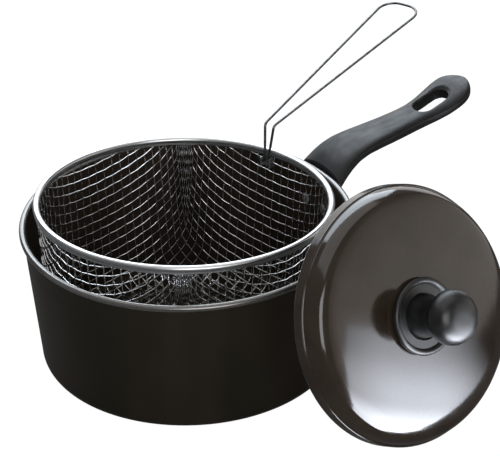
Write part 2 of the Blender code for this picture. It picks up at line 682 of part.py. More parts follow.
def make_lid():
    """The lid, in its own frame: its axis is Z, its rim lies at zero and its crown faces up; then it is stood up."""
    stand = bpy.data.objects.new("lid_stand", None)
    PARTS.objects.link(stand)
    out = Vector((math.cos(LID_AZIMUTH), math.sin(LID_AZIMUTH), 0.0))
    along = Vector((-math.sin(LID_AZIMUTH), math.cos(LID_AZIMUTH), 0.0))
    up = Vector((0.0, 0.0, math.cos(LID_LEAN))) - out * math.sin(LID_LEAN)
    facing = out * math.cos(LID_LEAN) + Vector((0.0, 0.0, math.sin(LID_LEAN)))
    centre = out * LID_STAND_DISTANCE + along * LID_STAND_OFFSET + up * LID_RADIUS
    stand.matrix_basis = Matrix.Translation(centre) @ Matrix((along, up, facing)).transposed().to_4x4()

    hole = KNOB_SCREW_RADIUS + GAP
    step_in = LID_SHEET
    crown = smooth([
        (LID_RADIUS * 0.32, LID_DEPTH * 0.985),
        (LID_RADIUS * 0.60, LID_DEPTH * 0.945),
        (LID_RADIUS * 0.78, LID_DEPTH * 0.885),
        (LID_RADIUS * 0.85, LID_DEPTH * 0.840),
        (LID_RADIUS * 0.885, LID_DEPTH * 0.845),
        (LID_RADIUS * 0.925, LID_DEPTH * 0.79),
        (LID_RADIUS * 0.960, LID_DEPTH * 0.62),
        (LID_RADIUS - step_in, LID_SKIRT + LID_SHEET),
    ], 2)
    profile = [(hole, LID_DEPTH)] + crown
    profile += [(LID_RADIUS, LID_SKIRT), (LID_RADIUS, 0.0)]
    solidify(turned("lid_shell", profile, LID_ENAMEL, stand), LID_SHEET, -1.0)

    seat = LID_DEPTH + GAP
    rolled = KNOB_DISC_HEIGHT / 2
    profile = [(KNOB_NECK_RADIUS + GAP, seat + rolled), (KNOB_DISC_RADIUS - 1.5 * rolled, seat + rolled)]
    profile += arc((KNOB_DISC_RADIUS - rolled, seat + rolled), rolled, 120, -90, 7)
    profile.append((KNOB_NECK_RADIUS + GAP, seat))
    turned("knob_disc", profile, PHENOLIC, stand, closed=True, steps=ROUND_STEPS // 2)

    bore = INSERT_RADIUS + GAP
    bore_top = seat + INSERT_LENGTH + GAP
    neck_top = seat + KNOB_HEIGHT * 0.52
    knob_top = seat + KNOB_HEIGHT
    outside = smooth([
        (KNOB_RADIUS * 0.45, knob_top - KNOB_HEIGHT * 0.025),
        (KNOB_RADIUS * 0.80, knob_top - KNOB_HEIGHT * 0.11),
        (KNOB_RADIUS, knob_top - KNOB_HEIGHT * 0.26),
        (KNOB_RADIUS * 0.90, knob_top - KNOB_HEIGHT * 0.40),
        (KNOB_NECK_RADIUS * 0.84, neck_top - KNOB_HEIGHT * 0.05),
        (KNOB_NECK_RADIUS * 0.88, seat + KNOB_HEIGHT * 0.2),
        (KNOB_NECK_RADIUS, seat),
    ], 2)
    profile = [(0.0, knob_top)] + outside + [(bore, seat), (bore, bore_top), (0.0, bore_top)]
    turned("knob", profile, PHENOLIC, stand, steps=ROUND_STEPS // 2)

    thread = KNOB_SCREW_RADIUS + GAP
    thread_top = seat + KNOB_SCREW_REACH + GAP
    turned("knob_insert", [
        (0.0, seat + INSERT_LENGTH),
        (INSERT_RADIUS, seat + INSERT_LENGTH),
        (INSERT_RADIUS, seat + GAP),
        (thread, seat + GAP),
        (thread, thread_top),
        (0.0, thread_top),
    ], BRASS, stand, steps=SMALL_STEPS)

    under = LID_DEPTH - LID_SHEET - GAP
    turned("knob_washer", [
        (thread, under),
        (KNOB_WASHER_RADIUS, under),
        (KNOB_WASHER_RADIUS, under - KNOB_WASHER_SHEET),
        (thread, under - KNOB_WASHER_SHEET),
    ], STEEL, stand, closed=True, steps=SMALL_STEPS)
    head = under - KNOB_WASHER_SHEET - GAP
    turned("knob_screw", [
        (0.0, seat + KNOB_SCREW_REACH),
        (KNOB_SCREW_RADIUS, seat + KNOB_SCREW_REACH),
        (KNOB_SCREW_RADIUS, head),
        (KNOB_SCREW_HEAD_RADIUS, head),
        (KNOB_SCREW_HEAD_RADIUS * 0.9, head - KNOB_SCREW_HEAD_HEIGHT * 0.6),
        (KNOB_SCREW_HEAD_RADIUS * 0.5, head - KNOB_SCREW_HEAD_HEIGHT),
        (0.0, head - KNOB_SCREW_HEAD_HEIGHT),
    ], STEEL, stand, steps=SMALL_STEPS)


for old in list(bpy.data.objects):
    bpy.data.objects.remove(old)

PARTS = new_collection("Deep fry pot")
CUTTERS = new_collection("Cutters")
ENAMEL = material("dark_coating", (0.030, 0.024, 0.020), 0.38, 0.0)
LID_ENAMEL = material("lid_coating", (0.045, 0.038, 0.035), 0.25, 0.0)
PHENOLIC = material("phenolic", (0.035, 0.036, 0.042), 0.45, 0.0)
STEEL = material("steel", (0.55, 0.55, 0.56), 0.35, 1.0)
WIRE_STEEL = material("wire_steel", (0.42, 0.43, 0.44), 0.32, 1.0)
BAND_METAL = material("band_metal", (0.86, 0.87, 0.88), 0.22, 1.0)
CLIP_STEEL = material("clip_steel", (0.45, 0.46, 0.48), 0.40, 1.0)
BRASS = material("brass", (0.70, 0.52, 0.25), 0.35, 1.0)

pot_body = make_pot()
make_bracket(pot_body)
collar = disc("collar_cutter", POT_REACH + GAP, 0.0, 2 * POT_HEIGHT, steps=ROUND_STEPS)
make_grip(collar, make_tongue("tongue_pocket", GAP))
basket_stand = stand_basket()
make_net(basket_stand)
make_band(basket_stand)
make_basket_handle(basket_stand)
make_clip(basket_stand)
make_lid()
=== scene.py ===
"""Deep fry pot with its wire basket and its lid: the finished looks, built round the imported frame.

Metres, +Z up, the pot's base centre at the origin and the pot's grip along +X, as the frame has them.
"""

import math

import bmesh
import bpy
import numpy as np
from mathutils import Matrix, Vector


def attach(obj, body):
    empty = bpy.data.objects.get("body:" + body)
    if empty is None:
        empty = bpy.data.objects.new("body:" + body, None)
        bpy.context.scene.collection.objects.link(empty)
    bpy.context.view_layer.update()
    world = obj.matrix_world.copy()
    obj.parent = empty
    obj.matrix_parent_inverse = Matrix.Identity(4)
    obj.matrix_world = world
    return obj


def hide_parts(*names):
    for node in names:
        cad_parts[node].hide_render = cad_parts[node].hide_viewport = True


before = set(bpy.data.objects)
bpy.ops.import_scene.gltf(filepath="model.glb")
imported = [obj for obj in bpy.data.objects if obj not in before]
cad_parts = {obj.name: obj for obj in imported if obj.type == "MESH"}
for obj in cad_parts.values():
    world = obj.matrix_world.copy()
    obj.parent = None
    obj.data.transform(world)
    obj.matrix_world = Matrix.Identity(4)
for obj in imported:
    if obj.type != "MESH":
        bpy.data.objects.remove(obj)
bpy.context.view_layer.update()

# Pot body.
# One pressed aluminium shell with a dark non-stick coating. Its collar flares a little above the neck, the rim is
# rolled outwards into a burnished bead, and fine rings are turned into the base.
RIM_RADIUS, RIM_HEIGHT, BEAD_RADIUS = 0.110, 0.0997, 0.0022
NECK_RADIUS, NECK_HEIGHT = 0.1062, 0.081
FOOT_RADIUS, FOOT_CORNER = 0.0995, 0.009
WALL, POT_FLOOR = 0.0022, 0.003
BASE_RING_DEPTH, BASE_RING_PITCH, BASE_RINGS_FROM, BASE_RINGS_TO = 0.0002, 0.0062, 0.02, 0.082


def wall_outside(z):
    """Outer radius at height z: a straight taper up to the neck, then a flare that grows by the 1.4th power."""
    up = (z - FOOT_CORNER) / (NECK_HEIGHT - FOOT_CORNER)
    taper = FOOT_RADIUS + (NECK_RADIUS - FOOT_RADIUS) * up
    over = np.clip((z - NECK_HEIGHT) / (RIM_HEIGHT - BEAD_RADIUS - NECK_HEIGHT), 0, 1)
    flare = NECK_RADIUS + (RIM_RADIUS - BEAD_RADIUS - NECK_RADIUS) * over ** 1.4
    return np.where(z <= NECK_HEIGHT, taper, flare)


def bow(centre, radius, start, end, count):
    """Points on an arc, as radius and height: the centre plus the radius times cosine and sine of the angle."""
    angle = np.radians(np.linspace(start, end, count))
    return np.stack([centre[0] + radius * np.cos(angle), centre[1] + radius * np.sin(angle)], 1)


def run(start, end, count):
    """Points on a straight line, both ends included."""
    return np.linspace(np.asarray(start, float), np.asarray(end, float), count)


def set_down(name, data):
    """A new object with the given mesh, lamp or camera, at the origin of the scene."""
    thing = bpy.data.objects.new(name, data)
    bpy.context.scene.collection.objects.link(thing)
    return thing


def carried(points, place):
    """Points turned and shifted by a place matrix."""
    return points @ np.array(place)[:3, :3].T + np.array(place)[:3, 3]


def new_piece(name, points, faces, finishes, face_finish=None, sharp=40):
    """A piece from its points and faces: doubles are merged, faces point outwards, edges over the angle stay
    crisp."""
    mesh = bpy.data.meshes.new(name)
    mesh.from_pydata(np.asarray(points, float).reshape(-1, 3).tolist(), [], np.asarray(faces).tolist())
    for look in finishes:
        mesh.materials.append(look)
    if face_finish is not None:
        mesh.polygons.foreach_set("material_index", np.asarray(face_finish, np.int32))
    shape = bmesh.new()
    shape.from_mesh(mesh)
    bmesh.ops.remove_doubles(shape, verts=shape.verts, dist=1e-7)
    bmesh.ops.recalc_face_normals(shape, faces=shape.faces)
    shape.to_mesh(mesh)
    shape.free()
    mesh.shade_smooth()
    mesh.set_sharp_from_angle(angle=math.radians(sharp))
    return set_down(name, mesh)


def lattice(rows, columns, close_rows, close_columns):
    """Quads between neighbours of a grid of points, joined round its ends where it closes on itself."""
    i = np.arange(rows if close_rows else rows - 1)
    j = np.arange(columns if close_columns else columns - 1)
    i, j = np.meshgrid(i, j, indexing="ij")
    a, b = (i + 1) % rows, (j + 1) % columns
    return np.stack([i * columns + j, i * columns + b, a * columns + b, a * columns + j], -1).reshape(-1, 4)


def spun(name, profile, finishes, closed=False, turns=192, place=None, bare=None, ripple=None, sharp=40):
    """A profile carried once round: x = r cos(a), y = r sin(a), z = height. The bare rows take the second finish,
    and a ripple adds a length to the radius, worked out from the profile's row and the angle."""
    profile = np.asarray(profile, float)
    angle = np.linspace(0, 2 * np.pi, turns, endpoint=False)
    radius = profile[:, :1] + (0 if ripple is None else ripple(profile, angle))
    points = np.stack([radius * np.cos(angle), radius * np.sin(angle), profile[:, 1:] + 0 * angle], -1)
    if place is not None:
        points = carried(points, place)
    faces = lattice(len(profile), turns, closed, True)
    face_finish = None if bare is None else np.repeat(bare[:len(faces) // turns], turns)
    return new_piece(name, points, faces, finishes, face_finish, sharp)


def finish(name, colour, roughness, metallic=0.0, shine=0.5):
    """A new material with the shader's plain values; its patterns are linked in afterwards. The shine is the
    strength of a non-metal's mirror layer, of which a half is plain plastic's."""
    look = bpy.data.materials.new(name)
    look.use_nodes = True
    shader = look.node_tree.nodes["Principled BSDF"]
    shader.inputs["Base Color"].default_value = (*colour, 1)
    shader.inputs["Roughness"].default_value = roughness
    shader.inputs["Metallic"].default_value = metallic
    shader.inputs["Specular IOR Level"].default_value = shine
    return look


def add_node(look, kind, inputs=None, **settings):
    """One node in a material, with its settings and with values or links for its inputs."""
    node = look.node_tree.nodes.new(kind)
    for key, value in settings.items():
        setattr(node, key, value)
    for key, value in (inputs or {}).items():
        if isinstance(value, bpy.types.NodeSocket):
            look.node_tree.links.new(value, node.inputs[key])
        else:
            node.inputs[key].default_value = value
    return node


def place_on(look, stretch=(1, 1, 1), stand=None):
    """The object's own coordinates, brought to a stand's frame if the piece leans, and stretched."""
    where = add_node(look, "ShaderNodeTexCoord").outputs["Object"]
    if stand is not None:
        stance = {"Vector": where, "Location": stand.translation, "Rotation": stand.to_euler()}
        where = add_node(look, "ShaderNodeMapping", stance, vector_type="TEXTURE").outputs["Vector"]
    return add_node(look, "ShaderNodeMapping", {"Vector": where, "Scale": stretch}).outputs["Vector"]


def round_and_up(look, around, out, up, stand=None):
    """Coordinates of a turned piece: the angle, the distance from the axis and the height, each times its scale."""
    axes = add_node(look, "ShaderNodeSeparateXYZ", {0: place_on(look, stand=stand)})
    angle = add_node(look, "ShaderNodeMath", {0: axes.outputs[1], 1: axes.outputs[0]},
                     operation="ARCTAN2").outputs[0]
    flat = add_node(look, "ShaderNodeCombineXYZ", {0: axes.outputs[0], 1: axes.outputs[1]})
    distance = add_node(look, "ShaderNodeVectorMath", {0: flat.outputs[0]}, operation="LENGTH").outputs["Value"]
    joined = add_node(look, "ShaderNodeCombineXYZ", {0: angle, 1: distance, 2: axes.outputs[2]})
    return add_node(look, "ShaderNodeMapping", {"Vector": joined.outputs[0], "Scale": (around, out, up)}).outputs[0]


def grain(look, where, scale, detail=3.0, spread=(0.35, 0.65)):
    """Noise from 0 to 1, drawn out to its full range between two of its levels."""
    noise = add_node(look, "ShaderNodeTexNoise", {"Vector": where, "Scale": scale, "Detail": detail})
    return add_node(look, "ShaderNodeMapRange", {"Value": noise.outputs["Fac"], "From Min": spread[0],
                                                 "From Max": spread[1]}).outputs["Result"]


def tint(look, factor, low, high):
    """The base colour runs from the low to the high colour with a pattern."""
    mix = add_node(look, "ShaderNodeMix", {"Factor": factor, 6: (*low, 1), 7: (*high, 1)}, data_type="RGBA")
    look.node_tree.links.new(mix.outputs[2], look.node_tree.nodes["Principled BSDF"].inputs["Base Color"])
    return mix.outputs[2]


def polish(look, factor, low, high):
    """The roughness runs from low to high with a pattern."""
    level = add_node(look, "ShaderNodeMapRange", {"Value": factor, "To Min": low, "To Max": high})
    look.node_tree.links.new(level.outputs["Result"], look.node_tree.nodes["Principled BSDF"].inputs["Roughness"])


def relief(look, height, depth, strength=1.0):
    """A pattern stands up as a bump of the given depth in metres."""
    bump = add_node(look, "ShaderNodeBump", {"Height": height, "Distance": depth, "Strength": strength})
    look.node_tree.links.new(bump.outputs["Normal"], look.node_tree.nodes["Principled BSDF"].inputs["Normal"])


coating = finish("pot_non_stick_coating", (0.016, 0.012, 0.009), 0.40, shine=0.12)
cloud = grain(coating, place_on(coating, (1, 1, 0.35)), 13.0, 3.0, (0.34, 0.66))
tint(coating, cloud, (0.011, 0.010, 0.006), (0.025, 0.017, 0.012))
fine = grain(coating, place_on(coating), 1400.0, 2.0)
polish(coating, cloud, 0.30, 0.42)
relief(coating, fine, 0.00002, 0.35)

rim_gloss = finish("pot_bead_coating", (0.16, 0.155, 0.15), 0.24, 0.8)
lathe = grain(rim_gloss, round_and_up(rim_gloss, 1.2, 1800.0, 1800.0), 1.0, 3.0)
tint(rim_gloss, lathe, (0.10, 0.097, 0.093), (0.22, 0.214, 0.207))
polish(rim_gloss, lathe, 0.18, 0.32)
relief(rim_gloss, lathe, 0.00002, 0.4)

bead_centre = (RIM_RADIUS - BEAD_RADIUS, RIM_HEIGHT - BEAD_RADIUS)
collar = np.linspace(NECK_HEIGHT - 0.003, bead_centre[1] - 0.0004, 16)
inner_corner = FOOT_CORNER - WALL
inner_floor = run((0.0, POT_FLOOR), (FOOT_RADIUS - FOOT_CORNER, POT_FLOOR), 12)
base = run((FOOT_RADIUS - FOOT_CORNER, 0.0), (0.0, 0.0), 90)
base_rings = BASE_RING_DEPTH * (0.5 - 0.5 * np.cos(2 * np.pi * base[:, 0] / BASE_RING_PITCH))
base[:, 1] = np.where((base[:, 0] > BASE_RINGS_FROM) & (base[:, 0] < BASE_RINGS_TO), base_rings, 0.0)
pot_profile = np.concatenate([
    inner_floor[:-1],
    bow((FOOT_RADIUS - FOOT_CORNER, POT_FLOOR + inner_corner), inner_corner, -90, 0, 10),
    np.stack([wall_outside(collar) - WALL, collar], 1),
    bow(bead_centre, BEAD_RADIUS, 180, -86, 27),
    np.stack([wall_outside(collar[::-1][2:]), collar[::-1][2:]], 1),
    bow((FOOT_RADIUS - FOOT_CORNER, FOOT_CORNER), FOOT_CORNER, 0, -90, 14),
    base[1:],
])
on_bead = np.hypot(pot_profile[:, 0] - bead_centre[0], pot_profile[:, 1] - bead_centre[1]) < BEAD_RADIUS * 1.02
on_bead = on_bead & (pot_profile[:, 1] > bead_centre[1] - BEAD_RADIUS * 0.8)
pot = spun("pot_shell", pot_profile, [coating, rim_gloss], turns=256, bare=on_bead.astype(int))


def cut_away(piece, points, faces):
    """Takes a closed cutter, given by its points and faces, out of a piece, and shades the result again."""
    cutter = new_piece(piece.name + "_cutter", points, faces, [])
    boolean = piece.modifiers.new("Cut", "BOOLEAN")
    boolean.operation, boolean.solver, boolean.object = "DIFFERENCE", "EXACT", cutter
    shape = bpy.data.meshes.new_from_object(piece.evaluated_get(bpy.context.evaluated_depsgraph_get()))
    piece.modifiers.clear()
    piece.data = shape
    bpy.data.objects.remove(cutter)
    shape.shade_smooth()
    shape.set_sharp_from_angle(angle=math.radians(40))


def barrel(radius, low, high, place, sides=48):
    """A closed cylinder about its own Z axis, as points and faces, set where the place matrix says."""
    angle = np.linspace(0, 2 * np.pi, sides, endpoint=False)
    rows = np.array([(0, low), (radius, low), (radius, high), (0, high)])
    points = np.stack([rows[:, :1] * np.cos(angle), rows[:, :1] * np.sin(angle), rows[:, 1:] + 0 * angle], -1)
    return carried(points, place), lattice(4, sides, False, True)


RIVET_HEIGHT, RIVET_HOLE, RIVET_SPREAD = 0.0755, 0.0023, math.radians(5.6)
taper_angle = math.atan2(NECK_RADIUS - FOOT_RADIUS, NECK_HEIGHT - FOOT_CORNER)
for side in (1, -1):
    hole_place = (Matrix.Rotation(side * RIVET_SPREAD, 4, "Z")
                  @ Matrix.Translation((float(wall_outside(RIVET_HEIGHT)), 0, RIVET_HEIGHT))
                  @ Matrix.Rotation(math.pi / 2 + taper_angle, 4, "Y"))
    cut_away(pot, *barrel(RIVET_HOLE, -3 * WALL, 3 * WALL, hole_place))
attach(pot, "pot")
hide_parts("pot_body")

# Bracket, rivets, screw and washer.
# A pressed steel plate lies on the pot's neck under two rivets, and its tongue runs up inside the grip, where one
# screw with a washer holds it from below. They are plain zinc-plated steel, dulled by heat.
zinc = finish("zinc_plated_steel", (0.50, 0.50, 0.51), 0.38, 1.0)
rolled = grain(zinc, place_on(zinc, (60, 900, 900)), 1.0, 3.0)
tint(zinc, rolled, (0.40, 0.40, 0.41), (0.60, 0.60, 0.61))
polish(zinc, grain(zinc, place_on(zinc), 160.0, 3.0), 0.30, 0.48)
relief(zinc, rolled, 0.00002, 0.4)


def coat(node, look):
    """A node that keeps its CAD mesh takes a finish."""
    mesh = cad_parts[node].data
    mesh.materials.clear()
    mesh.materials.append(look)


for name in ("handle_bracket", "bracket_rivet_left", "bracket_rivet_right", "handle_screw", "handle_washer"):
    coat(name, zinc)

# Pot's grip.
# One phenolic moulding that climbs over the rim like a swan's neck, narrows in the middle and widens to a
# rounded head with a hanging slot. The moulding is satin, a little shinier in streaks along its length.
GAP = 0.0003
GRIP_ROOT, GRIP_TIP = 0.104, 0.2302
GRIP_STATIONS = np.array([0.104, 0.110, 0.116, 0.122, 0.129, 0.138, 0.150, 0.164,
                          0.178, 0.188, 0.197, 0.206, 0.214, 0.221, 0.232])
GRIP_TOPS = np.array([0.0970, 0.1025, 0.1076, 0.1113, 0.1140, 0.1156, 0.1166, 0.1177,
                      0.1192, 0.1205, 0.1223, 0.1250, 0.1281, 0.1307, 0.1326])
GRIP_DEPTHS = np.array([11.0, 11.0, 10.8, 10.2, 9.4, 9.0, 9.2, 9.6,
                        9.9, 9.9, 9.8, 9.8, 9.8, 9.6, 9.3]) / 1000
GRIP_WIDTHS = np.array([43.7, 41.6, 39.0, 36.6, 33.9, 31.2, 29.0, 27.0,
                        25.2, 25.4, 28.2, 31.8, 33.6, 32.4, 30.0]) / 1000
GRIP_END_ROUND = 0.0135
SLOT_CENTRE, SLOT_LENGTH, SLOT_WIDTH = 0.2015, 0.0270, 0.0145
SLOT_EDGE, SLOT_SIDES, SLOT_CUTTER = 0.0016, 96, 0.02


def eased(x, stations, values, spread=0.0035):
    """A table's value at x, with the table's corners eased by the mean of several readings either side."""
    offsets = np.linspace(-1, 1, 15)
    weights = 1 - offsets ** 2
    readings = np.interp(x[..., None] + spread * offsets, stations, values)
    return (readings * weights).sum(-1) / weights.sum()


def slot_distance(x, y):
    """Distance in plan from the hanging slot's outline, a stadium: negative inside it."""
    half_run = (SLOT_LENGTH - SLOT_WIDTH) / 2
    along = np.abs(x - SLOT_CENTRE) - half_run
    return np.hypot(np.maximum(along, 0), y) - SLOT_WIDTH / 2


def grip_form(along, around):
    """The grip's skin: at each length a squared oval, with half width times |cos|^0.55 and half depth times
    |sin|^0.65. Near the slot both faces roll over into it."""
    end = np.clip((along - (GRIP_TIP - GRIP_END_ROUND)) / GRIP_END_ROUND, 0, 1)
    closing = np.sqrt(np.clip(1 - end ** 2.3, 0, 1))
    top = eased(along, GRIP_STATIONS, GRIP_TOPS)
    depth = eased(along, GRIP_STATIONS, GRIP_DEPTHS) * (0.30 + 0.70 * closing)
    half = eased(along, GRIP_STATIONS, GRIP_WIDTHS) / 2 * closing
    across = np.sign(np.cos(around)) * np.abs(np.cos(around)) ** 0.55
    up = np.sign(np.sin(around)) * np.abs(np.sin(around)) ** 0.65
    y = half * across
    level = top - 0.0005 * (1 - closing) - depth / 2
    rise = depth / 2 * up
    near = np.clip(1 - slot_distance(along, y) / SLOT_EDGE, 0, 1)
    rise = rise - np.sign(up) * SLOT_EDGE * (1 - np.sqrt(np.clip(1 - near ** 2, 0, 1))) * (np.abs(up) > 0.4)
    return np.stack([along + 0 * y, y, level + rise], -1)


def grip_middle(x):
    """Height of the grip's middle at a length, and its slope as an angle, read 6 mm before and behind."""
    behind, level, ahead = eased(x + np.array([-0.006, 0, 0.006]), GRIP_STATIONS, GRIP_TOPS - GRIP_DEPTHS / 2)
    return float(level), math.atan2(float(ahead - behind), 0.012)


lengths = np.concatenate([np.linspace(GRIP_ROOT, 0.184, 90), np.linspace(0.1845, 0.2200, 84),
                          GRIP_TIP - 0.0100 * (1 - np.sin(np.linspace(0.04, 1, 26) * np.pi / 2))])
turns_round = np.linspace(0, 2 * np.pi, 128, endpoint=False)
turns_round = turns_round - 0.30 * np.sin(2 * turns_round) / 2
skin = grip_form(lengths[:, None], turns_round[None, :])
root_cap = np.repeat(skin[:1].mean(1, keepdims=True), skin.shape[1], 1)
tip_cap = np.repeat(skin[-1:].mean(1, keepdims=True), skin.shape[1], 1)
skin = np.concatenate([root_cap, skin, tip_cap])

phenolic = finish("grip_phenolic", (0.008, 0.008, 0.009), 0.40, shine=0.2)
mottle = grain(phenolic, place_on(phenolic), 70.0, 4.0)
tint(phenolic, mottle, (0.005, 0.005, 0.0055), (0.012, 0.0115, 0.011))
polish(phenolic, grain(phenolic, place_on(phenolic, (0.35, 1, 1)), 240.0, 3.0), 0.32, 0.46)
relief(phenolic, grain(phenolic, place_on(phenolic), 1500.0, 2.0), 0.00003, 0.45)

grip = new_piece("grip_moulding", skin, lattice(len(skin), skin.shape[1], False, True), [phenolic], sharp=50)
cut_away(grip, *barrel(RIM_RADIUS + GAP, 0.0, 0.2, Matrix.Identity(4), 256))
angle = np.linspace(0, 2 * np.pi, SLOT_SIDES, endpoint=False)
half_run = (SLOT_LENGTH - SLOT_WIDTH) / 2 * np.sign(np.cos(angle)) * (np.abs(np.cos(angle)) > 1e-9)
stadium = np.stack([half_run + SLOT_WIDTH / 2 * np.cos(angle), SLOT_WIDTH / 2 * np.sin(angle)], 1)
slot_level, slot_slope = grip_middle(SLOT_CENTRE)
below, above = np.full((SLOT_SIDES, 1), -SLOT_CUTTER), np.full((SLOT_SIDES, 1), SLOT_CUTTER)
slot_rows = np.stack([np.concatenate([outline, height], 1) for outline, height in
                      ((0 * stadium, below), (stadium, below), (stadium, above), (0 * stadium, above))])
slot_place = Matrix.Translation((SLOT_CENTRE, 0, slot_level)) @ Matrix.Rotation(-slot_slope * 0.5, 4, "Y")
cut_away(grip, carried(slot_rows, slot_place), lattice(4, SLOT_SIDES, False, True))
SCREW_AT, WASHER_SEAT = 0.148, 0.0036
screw_level, screw_slope = grip_middle(SCREW_AT)
screw_place = Matrix.Translation((SCREW_AT, 0, screw_level)) @ Matrix.Rotation(-screw_slope, 4, "Y")
cut_away(grip, *barrel(WASHER_SEAT + GAP, -0.03, -0.0017, screw_place))
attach(grip, "pot")
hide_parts("handle_grip")

# Basket net.
# A square net of tinned steel wire, woven over and under, pressed from a flat sheet into a deep cup. Its meshes
# shear as it is pressed, so on the wall the wires swag and crowd together in four upright fans.
BAND_RADIUS, BAND_SECTION, BAND_DEPTH = 0.0963, 0.0022, 0.0052
BASKET_DEPTH, NET_FOOT, NET_CORNER, NET_TOP, NET_SHEET = 0.1038, 0.0898, 0.012, 0.0956, 0.001
NET_END = -0.0019
NET_PITCH, NET_WIRE, NET_TURN = 0.0068, 0.00036, math.radians(11)
NET_EDGE, FAN_SHARE = 0.0875, 0.22
BASKET_TILT, TILT_AZIMUTH, BASKET_SHIFT = math.radians(4.1), math.radians(38.9), (-0.00135, 0.00086)
net_flat = NET_FOOT - NET_CORNER
lip_foot = BAND_SECTION - BAND_DEPTH
stand_height = (POT_FLOOR + GAP + BASKET_DEPTH * math.cos(BASKET_TILT) + net_flat * math.sin(BASKET_TILT)
                + NET_CORNER * (1 - math.cos(BASKET_TILT)) + NET_SHEET / 2)
basket_stand = (Matrix.Translation((*BASKET_SHIFT, stand_height))
                @ Matrix.Rotation(BASKET_TILT, 4, Vector((-math.sin(TILT_AZIMUTH), math.cos(TILT_AZIMUTH), 0))))
net_section = np.concatenate([
    run((0, -BASKET_DEPTH), (net_flat, -BASKET_DEPTH), 40),
    bow((net_flat, NET_CORNER - BASKET_DEPTH), NET_CORNER, -90, 0, 40)[1:],
    run((NET_FOOT, NET_CORNER - BASKET_DEPTH), (NET_TOP, lip_foot - NET_CORNER / 2), 60)[1:],
    run((NET_TOP, lip_foot - NET_CORNER / 2), (BAND_RADIUS, lip_foot), 6)[1:],
    run((BAND_RADIUS, lip_foot), (BAND_RADIUS, NET_END), 4)[1:],
])
net_reach = np.concatenate([[0], np.cumsum(np.hypot(*np.diff(net_section, axis=0).T))])
section_slope = np.gradient(net_section, net_reach, axis=0)


def draped(x, y):
    """A flat sheet's point once it is pressed: its angle round the cup and its reach along the cup's section.

    A net keeps its wires' lengths and shears its meshes. With u and v the point's distances over the floor's radius,
    p = arccos u and q = arcsin v, both held to 90 degrees, the angle is (p + q + (sin 2q - sin 2p) / 2) / 2, and the
    rise above the floor's edge is (sin^2 q - sin^2 p) / 2, plus what u and v have over one. A share of the plain
    fan, which keeps each point's own angle and distance, keeps the wires apart where they crowd.
    """
    u, v = np.abs(x) / NET_EDGE, np.abs(y) / NET_EDGE
    p, q = np.arccos(np.minimum(u, 1)), np.arcsin(np.minimum(v, 1))
    sheared = (p + q + (np.sin(2 * q) - np.sin(2 * p)) / 2) / 2
    rise = (np.sin(q) ** 2 - np.sin(p) ** 2) / 2 + np.maximum(u - 1, 0) + np.maximum(v - 1, 0)
    fanned, reach = np.arctan2(v, u), np.hypot(u, v)
    on_wall = reach > 1
    angle = np.where(on_wall, (1 - FAN_SHARE) * sheared + FAN_SHARE * fanned, fanned)
    reach = np.where(on_wall, (1 - FAN_SHARE) * (1 + rise) + FAN_SHARE * reach, reach)
    angle = np.where(x < 0, np.pi - angle, angle) * np.where(y < 0, -1, 1)
    return angle, reach * NET_EDGE


def pressed(x, y, proud):
    """Where a point of the flat sheet lies after pressing, raised by a length from the sheet's middle."""
    turn, reach = draped(x, y)
    radius = np.interp(reach, net_reach, net_section[:, 0])
    height = np.interp(reach, net_reach, net_section[:, 1])
    lean_out = np.interp(reach, net_reach, section_slope[:, 1])
    lean_up = -np.interp(reach, net_reach, section_slope[:, 0])
    radius = radius + proud * lean_out
    height = height + proud * lean_up
    turn = turn + NET_TURN
    return np.stack([radius * np.cos(turn), radius * np.sin(turn), height], -1)


def tubes(paths, ups, radius, sides, starts):
    """Round wires along rows of points: each ring lies across the path, in the plane of its normal and the
    product of path and normal. Starts marks each wire's first row, so that no faces join two wires. The first and
    last rows come back too, for the caps."""
    ahead = np.gradient(paths, axis=0)
    first = np.flatnonzero(starts)
    last = np.append(first[1:], len(paths)) - 1
    ahead[first] = paths[first + 1] - paths[first]
    ahead[last] = paths[last] - paths[last - 1]
    ahead /= np.linalg.norm(ahead, axis=1, keepdims=True)
    across = np.cross(ahead, ups)
    across /= np.linalg.norm(across, axis=1, keepdims=True)
    over = np.cross(across, ahead)
    turn = np.linspace(0, 2 * np.pi, sides, endpoint=False)[None, :, None]
    rings = paths[:, None] + radius * (np.cos(turn) * across[:, None] + np.sin(turn) * over[:, None])
    faces = lattice(len(paths), sides, False, True).reshape(len(paths) - 1, sides, 4)
    joined = ~starts[1:]
    return rings, faces[joined].reshape(-1, 4), first, last


STEPS_PER_MESH, WIRE_SIDES = 4, 5
net_size = net_reach[-1]
wires_each_side = math.floor(net_size / NET_PITCH)
lines = np.arange(-wires_each_side, wires_each_side + 1) * NET_PITCH + NET_PITCH / 2
trial = np.linspace(0, net_size, 400)
net_paths, net_ups, net_starts = [], [], []
for line in lines[np.abs(lines) < net_size * 0.995]:
    half_chord = float(np.interp(net_size - 0.0002, draped(trial, line + 0 * trial)[1], trial))
    count = max(int(2 * half_chord / NET_PITCH * STEPS_PER_MESH), 3)
    along_sheet = np.linspace(-half_chord, half_chord, count)
    across_sheet = line + 0 * along_sheet
    for x, y, sign in ((across_sheet, along_sheet, -1), (along_sheet, across_sheet, 1)):
        weave = sign * NET_WIRE * 0.95 * np.cos(np.pi * (x + y) / NET_PITCH - np.pi)
        net_paths.append(pressed(x, y, weave))
        net_ups.append(pressed(x, y, weave + 0.001) - net_paths[-1])
        net_starts.append(np.arange(count) == 0)
paths, ups, starts = np.concatenate(net_paths), np.concatenate(net_ups), np.concatenate(net_starts)
rings, faces, first, last = tubes(paths, ups, NET_WIRE, WIRE_SIDES, starts)
caps = np.concatenate([first, last])[:, None] * WIRE_SIDES + np.arange(WIRE_SIDES)

